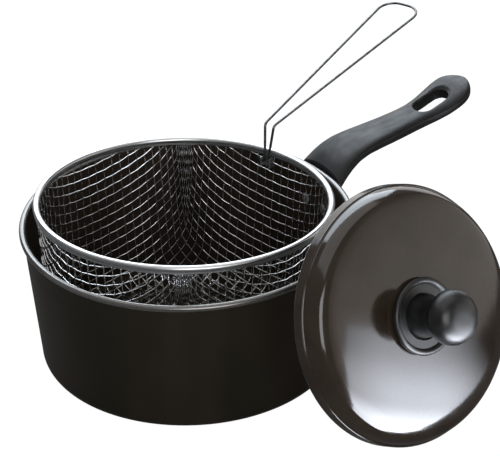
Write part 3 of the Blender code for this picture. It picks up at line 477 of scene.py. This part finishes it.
tinned = finish("tinned_net_wire", (0.60, 0.60, 0.60), 0.20, 1.0)
drawn = grain(tinned, place_on(tinned), 420.0, 3.0)
tint(tinned, drawn, (0.45, 0.45, 0.45), (0.74, 0.74, 0.74))
polish(tinned, drawn, 0.14, 0.24)

net_mesh = bpy.data.meshes.new("net_wires")
net_mesh.from_pydata(carried(rings, basket_stand).reshape(-1, 3).tolist(), [], faces.tolist() + caps.tolist())
net_mesh.materials.append(tinned)
shape = bmesh.new()
shape.from_mesh(net_mesh)
bmesh.ops.recalc_face_normals(shape, faces=shape.faces)
shape.to_mesh(net_mesh)
shape.free()
net_mesh.shade_smooth()
net = set_down("net_wires", net_mesh)
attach(net, "basket")
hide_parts("basket_net")

# Rim band and its core wire.
# Bright sheet folded over the net's edge and a core wire, its two lips pressed together below in small crimps,
# which catch the light as a row of dashes.
LIP_OPENING, BAND_SHEET, LIP_TOP = 0.0018, 0.0007, -0.00145
CRIMPS, CRIMP_DEPTH = 150, 0.00022
lip_inside, lip_outside = LIP_OPENING / 2, LIP_OPENING / 2 + BAND_SHEET
band_profile = np.concatenate([
    run((BAND_RADIUS - lip_outside, lip_foot), (BAND_RADIUS - lip_outside, LIP_TOP), 6),
    bow((BAND_RADIUS, 0), BAND_SECTION, 205, -25, 34),
    run((BAND_RADIUS + lip_outside, LIP_TOP), (BAND_RADIUS + lip_outside, lip_foot), 6),
    [(BAND_RADIUS + lip_inside, lip_foot)],
    bow((BAND_RADIUS, 0), BAND_SECTION - BAND_SHEET, -35, 215, 16),
    [(BAND_RADIUS - lip_inside, lip_foot)],
])


def crimped(profile, angle):
    """Small dents in the outer faces of both lips, one for each crimp: a clipped cosine of the angle, fading out
    where the lips meet the round top."""
    height = np.clip(-(profile[:, 1] + 0.0011) / 0.0009, 0, 1)
    lip = height * (np.abs(profile[:, 0] - BAND_RADIUS) > lip_inside + BAND_SHEET * 0.5)
    dent = np.clip(np.cos(CRIMPS * angle) * 1.6 - 0.2, 0, 1)
    return -np.sign(profile[:, 0] - BAND_RADIUS)[:, None] * CRIMP_DEPTH * lip[:, None] * dent


bright = finish("bright_band", (0.50, 0.51, 0.52), 0.30, 1.0)
rubbed = grain(bright, round_and_up(bright, 2.0, 1800.0, 1800.0, basket_stand), 1.0, 3.0)
tint(bright, rubbed, (0.38, 0.385, 0.39), (0.62, 0.625, 0.63))
polish(bright, rubbed, 0.24, 0.40)
relief(bright, rubbed, 0.00002, 0.3)
band = spun("band_sheet", band_profile, [bright], closed=True, turns=900, place=basket_stand, ripple=crimped)
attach(band, "basket")
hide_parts("basket_rim_band")
coat("basket_core_wire", tinned)

# Handle clip.
# A short channel of grey bent sheet, tacked under the band on the inside, whose two ears carry the wire handle.
clip_sheet = finish("clip_sheet_steel", (0.36, 0.37, 0.39), 0.42, 1.0)
scuffs = grain(clip_sheet, place_on(clip_sheet, (1, 1, 3)), 700.0, 3.0)
tint(clip_sheet, scuffs, (0.28, 0.29, 0.31), (0.46, 0.47, 0.49))
polish(clip_sheet, scuffs, 0.34, 0.52)


def softened(node, name, look, width):
    """A copy of a CAD node with its corners rounded a little; the node's loose triangles are merged first."""
    shape = bmesh.new()
    shape.from_mesh(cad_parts[node].data)
    bmesh.ops.remove_doubles(shape, verts=shape.verts, dist=1e-6)
    bmesh.ops.dissolve_limit(shape, angle_limit=math.radians(1), verts=shape.verts, edges=shape.edges)
    mesh = bpy.data.meshes.new(name)
    shape.to_mesh(mesh)
    shape.free()
    mesh.materials.clear()
    mesh.materials.append(look)
    mesh.shade_smooth()
    mesh.set_sharp_from_angle(angle=math.radians(35))
    piece = set_down(name, mesh)
    edge = piece.modifiers.new("Edge", "BEVEL")
    edge.width, edge.segments, edge.limit_method = width, 2, "ANGLE"
    edge.angle_limit = math.radians(35)
    return piece


clip = softened("handle_clip", "clip_channel", clip_sheet, 0.00012)
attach(clip, "basket")
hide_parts("handle_clip")

# Basket's wire handle.
# One length of steel wire: the two ends are turned out into the clip's ears, the legs climb over the band, bend
# out and spread into a long loop with rounded corners.
HANDLE_WIRE, HANDLE_AZIMUTH = 0.0009, math.radians(19.2)
HINGE_RADIUS, HINGE_DROP, LEG_SPACING = 0.0920, 0.0066, 0.0038
CLIP_WIDTH, CLIP_SHEET = 0.0076, 0.0006
LEG_BEND, LOOP_END, LOOP_CORNER = (0.0955, 0.0036, 0.0198), (0.2590, 0.0155, 0.0524), 0.0115
HANDLE_SIDES = 16
half_loop = np.array([
    (HINGE_RADIUS, CLIP_WIDTH / 2 + 2 * CLIP_SHEET, -HINGE_DROP),
    (HINGE_RADIUS, LEG_SPACING / 2, -HINGE_DROP),
    (BAND_RADIUS - BAND_SECTION - GAP - HANDLE_WIRE, LEG_SPACING / 2, HANDLE_WIRE),
    LEG_BEND,
    LOOP_END,
])
half_bends = np.array([HANDLE_WIRE * 1.25, HANDLE_WIRE * 6, HANDLE_WIRE * 4, LOOP_CORNER])


def bent_wire(corners, bends, count):
    """A wire's middle line: straight runs whose corners are arcs of the given radii, tangent to both runs."""
    line = [corners[:1]]
    for before, corner, after, bend in zip(corners, corners[1:], corners[2:], bends):
        back = (before - corner) / np.linalg.norm(before - corner)
        on = (after - corner) / np.linalg.norm(after - corner)
        half = math.acos(np.clip(back @ on, -1, 1)) / 2
        centre = corner + (back + on) / np.linalg.norm(back + on) * bend / math.sin(half)
        first = corner + back * bend / math.tan(half) - centre
        last = corner + on * bend / math.tan(half) - centre
        whole = math.pi - 2 * half
        share = np.linspace(0, 1, count)[:, None]
        line.append(centre + (np.sin((1 - share) * whole) * first + np.sin(share * whole) * last) / math.sin(whole))
    line.append(corners[-1:])
    line = np.concatenate(line)
    reach = np.concatenate([[0], np.cumsum(np.linalg.norm(np.diff(line, axis=0), axis=1))])
    dense = np.unique(np.concatenate([reach, np.arange(0, reach[-1], 0.002)]))
    return np.stack([np.interp(dense, reach, line[:, k]) for k in range(3)], 1)


handle_line = bent_wire(np.concatenate([half_loop, half_loop[::-1] * (1, -1, 1)]),
                        np.concatenate([half_bends, half_bends[::-1]]), 12)
on_loop = np.clip((handle_line[:, 2] - 0.0150) / 0.0050, 0, 1)[:, None]
side_normal = (1 - on_loop) * np.array((-1.0, 0.0, 0.1)) + on_loop * np.array((-0.2, 0.0, 0.98))
rings = tubes(handle_line, side_normal, HANDLE_WIRE, HANDLE_SIDES, np.arange(len(handle_line)) == 0)[0]
ends = np.repeat(handle_line[[0, -1], None], HANDLE_SIDES, 1)
rings = np.concatenate([ends[:1], rings, ends[1:]])
handle_place = basket_stand @ Matrix.Rotation(HANDLE_AZIMUTH, 4, "Z")
steel_wire = finish("handle_steel_wire", (0.12, 0.12, 0.12), 0.34, 1.0)
pulled = grain(steel_wire, place_on(steel_wire), 300.0, 3.0)
tint(steel_wire, pulled, (0.07, 0.07, 0.07), (0.17, 0.17, 0.17))
polish(steel_wire, pulled, 0.26, 0.42)
wire_handle = new_piece("handle_wire", carried(rings, handle_place),
                        lattice(len(rings), HANDLE_SIDES, False, True), [steel_wire], sharp=60)
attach(wire_handle, "wire_handle")
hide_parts("basket_handle")

# Lid.
# A pressed shell with a glossy dark coating: an upright skirt, a small step, a round shoulder and a slightly domed
# face. The cut edge of the skirt is left bare. It stands on that edge and leans back.
LID_RADIUS, LID_DEPTH, LID_SKIRT, LID_SHEET = 0.0832, 0.0245, 0.008, 0.0012
LID_AZIMUTH, LID_LEAN, LID_OUT, LID_SIDEWAYS = math.radians(-82.6), math.radians(22.6), 0.1858, 0.0407
SCREW_BORE = 0.0023
lid_out = Vector((math.cos(LID_AZIMUTH), math.sin(LID_AZIMUTH), 0))
lid_along = Vector((-math.sin(LID_AZIMUTH), math.cos(LID_AZIMUTH), 0))
lid_up = Vector((0, 0, math.cos(LID_LEAN))) - lid_out * math.sin(LID_LEAN)
lid_facing = lid_out * math.cos(LID_LEAN) + Vector((0, 0, math.sin(LID_LEAN)))
lid_centre = lid_out * LID_OUT + lid_along * LID_SIDEWAYS + lid_up * LID_RADIUS
lid_stand = Matrix.Translation(lid_centre) @ Matrix((lid_along, lid_up, lid_facing)).transposed().to_4x4()


def flowing(knots, count):
    """A smooth curve through knots: between each two, the cubic whose slopes there join the knots either side."""
    knots = np.asarray(knots, float)
    padded = np.concatenate([knots[:1], knots, knots[-1:]])
    span = np.repeat(np.arange(len(knots) - 1), count)
    t = np.tile(np.arange(count) / count, len(knots) - 1)[:, None]
    p0, p1, p2, p3 = (padded[span + k] for k in range(4))
    curve = p1 + ((p2 - p0) * t + (2 * p0 - 5 * p1 + 4 * p2 - p3) * t ** 2 + (3 * p1 - p0 - 3 * p2 + p3) * t ** 3) / 2
    return np.concatenate([curve, knots[-1:]])


lid_shares = [(0.0277, 1.0), (0.16, 0.998), (0.32, 0.986), (0.47, 0.969), (0.60, 0.945), (0.70, 0.917),
              (0.78, 0.887), (0.82, 0.868), (0.85, 0.850), (0.875, 0.832), (0.90, 0.806), (0.925, 0.764),
              (0.943, 0.700), (0.960, 0.610), (0.972, 0.515), (0.980, 0.420), (0.984, 0.365)]
lid_face = flowing(np.array(lid_shares) * (LID_RADIUS, LID_DEPTH), 6)
lid_edge = bow((LID_RADIUS - LID_SHEET / 2, LID_SHEET / 2), LID_SHEET / 2, 0, -180, 9)
lid_step = bow((LID_RADIUS - 0.0004, LID_SKIRT - 0.0004), 0.0004, 90, 0, 6)
lid_inside = lid_face[::-1] + (-LID_SHEET * 0.9, -LID_SHEET)
lid_inside[:, 0] = np.maximum(lid_inside[:, 0], SCREW_BORE)
lid_profile = np.concatenate([
    lid_face,
    [(LID_RADIUS - 0.0011, LID_SKIRT + 0.0004)],
    lid_step,
    run((LID_RADIUS, LID_SKIRT - 0.0006), (LID_RADIUS, LID_SHEET), 6),
    lid_edge,
    run((LID_RADIUS - LID_SHEET, LID_SHEET), (LID_RADIUS - LID_SHEET, LID_SKIRT - LID_SHEET), 5),
    [(LID_RADIUS - 2 * LID_SHEET, LID_SKIRT - 0.0003)],
    lid_inside,
])
lid_gloss = finish("lid_glossy_coating", (0.022, 0.016, 0.011), 0.12)
haze = grain(lid_gloss, place_on(lid_gloss), 34.0, 4.0, (0.3, 0.7))
tint(lid_gloss, haze, (0.018, 0.012, 0.008), (0.030, 0.022, 0.016))
polish(lid_gloss, haze, 0.09, 0.14)
relief(lid_gloss, grain(lid_gloss, place_on(lid_gloss), 900.0, 2.0), 0.00002, 0.25)
bare_edge = finish("lid_bare_edge", (0.72, 0.72, 0.71), 0.28, 1.0)
filed = grain(bare_edge, round_and_up(bare_edge, 3.0, 2400.0, 2400.0, lid_stand), 1.0, 3.0)
tint(bare_edge, filed, (0.55, 0.55, 0.54), (0.85, 0.85, 0.84))
polish(bare_edge, filed, 0.22, 0.36)
on_edge = (lid_profile[:, 1] < LID_SHEET * 0.7).astype(int)
lid = spun("lid_shell_sheet", lid_profile, [lid_gloss, bare_edge], closed=True, turns=256, place=lid_stand,
           bare=on_edge)
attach(lid, "lid")
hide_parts("lid_shell")

# Knob and its disc.
# Both are glossy black phenolic: a disc with a rolled edge against the lid, and a knob with a wide tapering neck
# and a rounded head, moulded round a brass insert that takes a screw from inside the lid.
LID_SEAT = LID_DEPTH + GAP
DISC_RADIUS, DISC_HEIGHT, KNOB_NECK, KNOB_HEIGHT = 0.0248, 0.0042, 0.0148, 0.0401
INSERT_RADIUS, INSERT_TOP = 0.0038, LID_SEAT + 0.0183
roll = DISC_HEIGHT / 2
disc_profile = np.concatenate([
    run((KNOB_NECK + GAP, LID_SEAT + roll), (DISC_RADIUS - 2.2 * roll, LID_SEAT + roll), 6),
    bow((DISC_RADIUS - roll, LID_SEAT + roll), roll, 128, -90, 28),
    run((DISC_RADIUS - 1.2 * roll, LID_SEAT), (KNOB_NECK + GAP, LID_SEAT), 6),
])
knob_rows = [(0.0, 0.0), (0.0060, 0.0002), (0.0106, 0.0012), (0.0143, 0.0035), (0.0166, 0.0068), (0.0176, 0.0104),
             (0.0176, 0.0126), (0.0170, 0.0150), (0.0155, 0.0176), (0.0138, 0.0200), (0.0128, 0.0228),
             (0.0125, 0.0270), (0.0128, 0.0330), (0.0135, 0.0370), (KNOB_NECK - 0.0003, 0.0398),
             (KNOB_NECK, KNOB_HEIGHT)]
knob_profile = np.concatenate([
    flowing(np.array(knob_rows) * (1, -1) + (0, LID_SEAT + KNOB_HEIGHT), 5),
    [(INSERT_RADIUS, LID_SEAT), (INSERT_RADIUS, INSERT_TOP), (0.0, INSERT_TOP)],
])
black = finish("knob_black_phenolic", (0.009, 0.009, 0.009), 0.36, shine=0.42)
swirl = grain(black, place_on(black), 120.0, 4.0)
tint(black, swirl, (0.006, 0.006, 0.006), (0.012, 0.012, 0.012))
polish(black, swirl, 0.30, 0.42)
relief(black, grain(black, place_on(black), 1100.0, 2.0), 0.00002, 0.25)
disc = spun("knob_base_disc", disc_profile, [black], closed=True, turns=160, place=lid_stand)
knob = spun("knob_moulding", knob_profile, [black], turns=160, place=lid_stand)
for piece, node in ((disc, "knob_disc"), (knob, "knob")):
    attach(piece, "lid")
    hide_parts(node)
brass = finish("insert_brass", (0.70, 0.52, 0.25), 0.34, 1.0)
knurl = grain(brass, place_on(brass), 900.0, 2.0)
tint(brass, knurl, (0.58, 0.42, 0.19), (0.80, 0.61, 0.31))
polish(brass, knurl, 0.28, 0.42)
for name, look in (("knob_insert", brass), ("knob_screw", zinc), ("knob_washer", zinc)):
    coat(name, look)

# Floor.
# A wide plain white sheet. What the camera and reflections see of it is mostly its own white, so it stays pale
# and still keeps the soft shadow.
FLOOR_HALF, FLOOR_LEVEL = 6.0, -0.0004
OWN_WHITE, BOUNCED_GLOW, SEEN_GLOW = 0.93, 0.07, 1.06
paper = finish("white_floor", (0.90, 0.90, 0.90), 0.9)
fleck = grain(paper, place_on(paper), 12.0, 2.0)
tint(paper, fleck, (0.895, 0.895, 0.895), (0.905, 0.905, 0.905))
seen = add_node(paper, "ShaderNodeLightPath")
either = add_node(paper, "ShaderNodeMath", {0: seen.outputs["Is Camera Ray"], 1: seen.outputs["Is Glossy Ray"]},
                  operation="MAXIMUM")
share = add_node(paper, "ShaderNodeMath", {0: either.outputs[0], 1: OWN_WHITE}, operation="MULTIPLY")
glow = add_node(paper, "ShaderNodeMapRange", {"Value": seen.outputs["Is Camera Ray"], "To Min": BOUNCED_GLOW,
                                              "To Max": SEEN_GLOW})
white = add_node(paper, "ShaderNodeEmission", {"Color": (1, 1, 1, 1), "Strength": glow.outputs["Result"]})
body = paper.node_tree.nodes["Principled BSDF"]
both = add_node(paper, "ShaderNodeMixShader", {0: share.outputs[0], 1: body.outputs[0], 2: white.outputs[0]})
paper.node_tree.links.new(both.outputs[0], paper.node_tree.nodes["Material Output"].inputs["Surface"])
floor_mesh = bpy.data.meshes.new("floor")
floor_mesh.from_pydata([(x * FLOOR_HALF, y * FLOOR_HALF, FLOOR_LEVEL) for x, y in
                        ((-1, -1), (1, -1), (1, 1), (-1, 1))], [], [(0, 1, 2, 3)])
floor_mesh.materials.append(paper)
floor = set_down("floor", floor_mesh)

# Camera.
# It looks down at 30 degrees from the side where the grip points back to the right, with a long lens.
VIEW_TURN, VIEW_DOWN, VIEW_ROLL = math.radians(-34), math.radians(30.37), math.radians(-1.44)
VIEW_CENTRE, VIEW_DISTANCE = Vector((0.0411, 0, 0.09161)), 1.96619
back = Vector((0, -math.cos(VIEW_DOWN), math.sin(VIEW_DOWN)))
right = Vector((1, 0, 0))
upward = back.cross(right)
right, upward = (right * math.cos(VIEW_ROLL) + upward * math.sin(VIEW_ROLL),
                 upward * math.cos(VIEW_ROLL) - right * math.sin(VIEW_ROLL))
eye = VIEW_CENTRE + back * VIEW_DISTANCE
camera_data = bpy.data.cameras.new("camera")
camera_data.lens, camera_data.sensor_width = 216, 36
camera_data.clip_end = 50
camera = set_down("camera", camera_data)
turned_view = Matrix((right, upward, back)).transposed().to_4x4()
camera.matrix_world = Matrix.Rotation(VIEW_TURN, 4, "Z") @ Matrix.Translation(eye) @ turned_view
bpy.context.scene.camera = camera

# Lamps and surroundings.
# One soft lamp overhead, a wide backdrop and a panel behind that shines along the grip's top, a panel in front for
# the lid's shoulder, and a dim pale room that is white to the camera.


def lamp(name, place, aim, width, height, watts, colour=(1, 1, 1)):
    """A rectangular soft lamp at a place, in the camera's turned frame, facing a point."""
    data = bpy.data.lights.new(name, "AREA")
    data.shape, data.size, data.size_y = "RECTANGLE", width, height
    data.energy, data.color = watts, colour
    here, there = Vector(place), Vector(aim)
    facing = (there - here).to_track_quat("-Z", "Y").to_matrix().to_4x4()
    set_down(name, data).matrix_world = Matrix.Rotation(VIEW_TURN, 4, "Z") @ Matrix.Translation(here) @ facing


lamp("overhead", (-0.10, 0.10, 1.7), (0.0, 0.0, 0.0), 2.2, 2.2, 16)
lamp("backdrop", (0.0, 2.0, 0.45), (0.0, 0.0, 0.10), 3.2, 0.9, 13)
lamp("back_panel", (-0.18, 0.92, 0.86), (0.12, 0.08, 0.10), 1.4, 0.75, 20, (0.82, 0.91, 1.0))
lamp("front_strip", (0.30, -1.42, 0.75), (0.12, -0.11, 0.08), 0.95, 0.8, 11)

ROOM_GLOW, ROOM_SEEN = 0.18, 1.0
world = bpy.data.worlds.new("room")
bpy.context.scene.world = world
world.use_nodes = True
room = world.node_tree.nodes["Background"]
room.inputs["Color"].default_value = (1, 1, 1, 1)
ray = add_node(world, "ShaderNodeLightPath")
strength = add_node(world, "ShaderNodeMapRange", {"Value": ray.outputs["Is Camera Ray"], "To Min": ROOM_GLOW,
                                                  "To Max": ROOM_SEEN})
world.node_tree.links.new(strength.outputs["Result"], room.inputs["Strength"])
bpy.context.scene.view_settings.view_transform = "Standard"

# Two cards that only mirror rays see.
# A window low on the right, which the lid's lower face shows: its top edge is crisp, it fades out to the right and
# grows brighter downwards. And a pale wall further right, whose sheen covers the rest of the lid.


def card(name, corner, across, down, width, height):
    """A rectangle from its corner along two directions in the camera's turned frame, with a black finish. Its
    finish comes back with the distances across and down it."""
    look = finish(name, (0, 0, 0), 1.0, shine=0.0)
    mesh = bpy.data.meshes.new(name)
    mesh.from_pydata([(0, 0, 0), (width, 0, 0), (width, height, 0), (0, height, 0)], [], [(0, 1, 2, 3)])
    mesh.materials.append(look)
    sheet = set_down(name, mesh)
    sheet.matrix_world = (Matrix.Rotation(VIEW_TURN, 4, "Z") @ Matrix.Translation(corner)
                          @ Matrix((across, down, across.cross(down))).transposed().to_4x4())
    sheet.visible_camera = sheet.visible_diffuse = sheet.visible_shadow = False
    axes = add_node(look, "ShaderNodeSeparateXYZ", {0: place_on(look)})
    return look, axes.outputs[0], axes.outputs[1]


def ramp(look, value, start, end, low, high):
    """A smooth step between two levels as a value goes from its start to its end."""
    return add_node(look, "ShaderNodeMapRange", {"Value": value, "From Min": start, "From Max": end, "To Min": low,
                                                 "To Max": high}, interpolation_type="SMOOTHSTEP").outputs[0]


def glowing(look, first, second, colour):
    """Adds up the first levels, multiplies the sum by the second ones, and lets the card glow that strongly."""
    total = first[0]
    for level in first[1:]:
        total = add_node(look, "ShaderNodeMath", {0: total, 1: level}, operation="ADD").outputs[0]
    for level in second:
        total = add_node(look, "ShaderNodeMath", {0: total, 1: level}, operation="MULTIPLY").outputs[0]
    light = add_node(look, "ShaderNodeEmission", {"Color": (*colour, 1), "Strength": total})
    look.node_tree.links.new(light.outputs[0], look.node_tree.nodes["Material Output"].inputs["Surface"])


WINDOW_WIDTH, WINDOW_HEIGHT, ROLL_COSINE, ROLL_SINE = 0.24, 0.29, 0.959, 0.283
window_corner = Vector((0.3990, -0.2670, 0.1480))
level_edge = (Vector((0.4150, -0.1430, 0.0530)) - window_corner).normalized()
falling = level_edge.cross(Vector((0.246, -0.181, 0.022)) - window_corner).normalized().cross(level_edge)
window, right_on, down_on = card("window_card", window_corner, ROLL_COSINE * level_edge - ROLL_SINE * falling,
                                 ROLL_SINE * level_edge + ROLL_COSINE * falling, WINDOW_WIDTH, WINDOW_HEIGHT)
glowing(window, [ramp(window, down_on, 0.03, 0.17, 5.0, 11.5), ramp(window, down_on, 0.175, 0.245, 0.0, 16.0)],
        [ramp(window, right_on, 0.0, 0.08, 0.70, 1.28), ramp(window, right_on, 0.11, 0.22, 1.0, 0.0)],
        (0.86, 0.91, 1))
WALL_WIDTH, WALL_HEIGHT = 1.9, 1.10
wall, right_on, down_on = card("wall_card", Vector((1.30, -1.15, 1.10)), Vector((0, 1, 0)), Vector((0, 0, -1)),
                               WALL_WIDTH, WALL_HEIGHT)
glowing(wall, [ramp(wall, down_on, 0.0, WALL_HEIGHT, 0.27, 1.42)], [ramp(wall, right_on, 0.0, 0.45, 0.15, 1.0)],
        (1.0, 0.94, 0.88))
